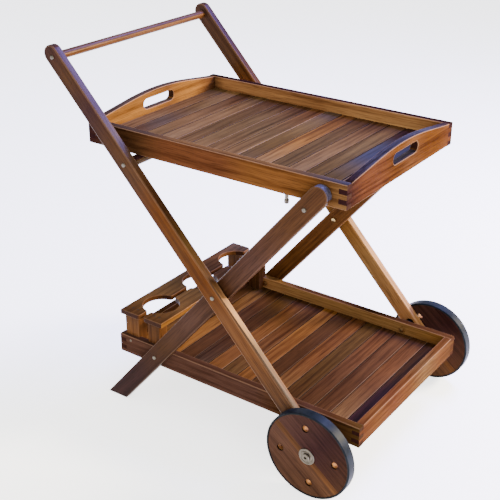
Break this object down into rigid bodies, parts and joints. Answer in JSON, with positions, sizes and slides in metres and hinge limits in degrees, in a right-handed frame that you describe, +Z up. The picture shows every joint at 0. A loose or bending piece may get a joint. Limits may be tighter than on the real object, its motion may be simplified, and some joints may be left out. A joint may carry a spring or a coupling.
{
  "type": "serving trolley",
  "caption": "Wooden serving trolley with a lift-off slatted tray, slatted lower shelf, bottle holder, crossed arms and legs, and rubber-tyred wheels.",
  "frame": {"origin": "centre of the trolley's bounding box at floor level", "axes": "+Z up, +X towards the wheels, away from the person who pushes, +Y to that person's left"},
  "size_m": [0.7844, 0.5818, 0.8338],
  "materials": {
    "arm_wood": "clear varnish over reddish brown acacia",
    "steel_hardware": "zinc-plated steel",
    "bar_wood": "clear varnish over turned acacia",
    "leg_wood": "clear varnish over dark brown acacia",
    "brass_nuts": "brass-plated cap nuts",
    "spacer_wood": "clear varnish over dark acacia",
    "tray_wood": "clear varnish over golden brown acacia",
    "pins": "plated steel, domed end",
    "slat_wood": "clear varnish, tone varies from slat to slat",
    "shelf_wood": "clear varnish over dark reddish brown acacia",
    "bottle_holder_wood": "clear varnish over dark brown acacia",
    "wheel_wood": "clear varnish over dark reddish brown acacia",
    "tyre_rubber": "smooth black rubber"
  },
  "bodies": {
    "frame": {"arm_right": "arm_wood", "handle_bolt_right": "steel_hardware", "rear_bar_bolt_right": "steel_hardware", "arm_left": "arm_wood", "handle_bolt_left": "steel_hardware", "rear_bar_bolt_left": "steel_hardware", "handle_bar": "bar_wood", "rear_tray_bar": "bar_wood", "leg_right": "leg_wood", "front_bar_bolt_right": "steel_hardware", "leg_left": "leg_wood", "front_bar_bolt_left": "steel_hardware", "front_tray_bar": "bar_wood", "crossing_bolt_right": "steel_hardware", "crossing_nut_right": "brass_nuts", "leg_shelf_bolt_right": "steel_hardware", "leg_shelf_nut_right": "brass_nuts", "arm_shelf_bolt_right": "steel_hardware", "arm_shelf_nut_right": "brass_nuts", "shelf_spacer_right": "spacer_wood", "crossing_washer_right": "steel_hardware", "crossing_bolt_left": "steel_hardware", "crossing_nut_left": "brass_nuts", "leg_shelf_bolt_left": "steel_hardware", "leg_shelf_nut_left": "brass_nuts", "arm_shelf_bolt_left": "steel_hardware", "arm_shelf_nut_left": "brass_nuts", "shelf_spacer_left": "spacer_wood", "crossing_washer_left": "steel_hardware", "shelf_rail_right": "shelf_wood", "shelf_rail_left": "shelf_wood", "shelf_end_front": "shelf_wood", "shelf_end_rear": "shelf_wood", "shelf_deck": "slat_wood", "bottle_plank_rear": "bottle_holder_wood", "bottle_plank_front": "bottle_holder_wood", "bottle_post_rear_right": "bottle_holder_wood", "bottle_post_front_right": "bottle_holder_wood", "bottle_post_rear_left": "bottle_holder_wood", "bottle_post_front_left": "bottle_holder_wood", "axle_washer_right": "steel_hardware", "axle_bolt_right": "steel_hardware", "axle_nut_right": "steel_hardware", "axle_washer_left": "steel_hardware", "axle_bolt_left": "steel_hardware", "axle_nut_left": "steel_hardware"},
    "tray": {"tray_rail_right": "tray_wood", "tray_pin_right": "pins", "tray_rail_left": "tray_wood", "tray_pin_left": "pins", "tray_end_front": "tray_wood", "tray_end_rear": "tray_wood", "tray_deck": "slat_wood"},
    "wheel_right": {"wheel_disc_right": "wheel_wood", "tyre_right": "tyre_rubber", "hub_cap_right": "steel_hardware"},
    "wheel_left": {"wheel_disc_left": "wheel_wood", "tyre_left": "tyre_rubber", "hub_cap_left": "steel_hardware"}
  },
  "joints": [
    {"name": "wheel_right_spin", "type": "hinge", "parent": "frame", "child": "wheel_right", "pos_m": [0.2932, -0.274, 0.099], "axis": [0, 1, 0], "continuous": true},
    {"name": "wheel_left_spin", "type": "hinge", "parent": "frame", "child": "wheel_left", "pos_m": [0.2932, 0.274, 0.099], "axis": [0, 1, 0], "continuous": true},
    {"name": "tray_lift", "type": "slide", "parent": "frame", "child": "tray", "axis": [0, 0, 1], "range_m": [0, 0.12]}
  ]
}
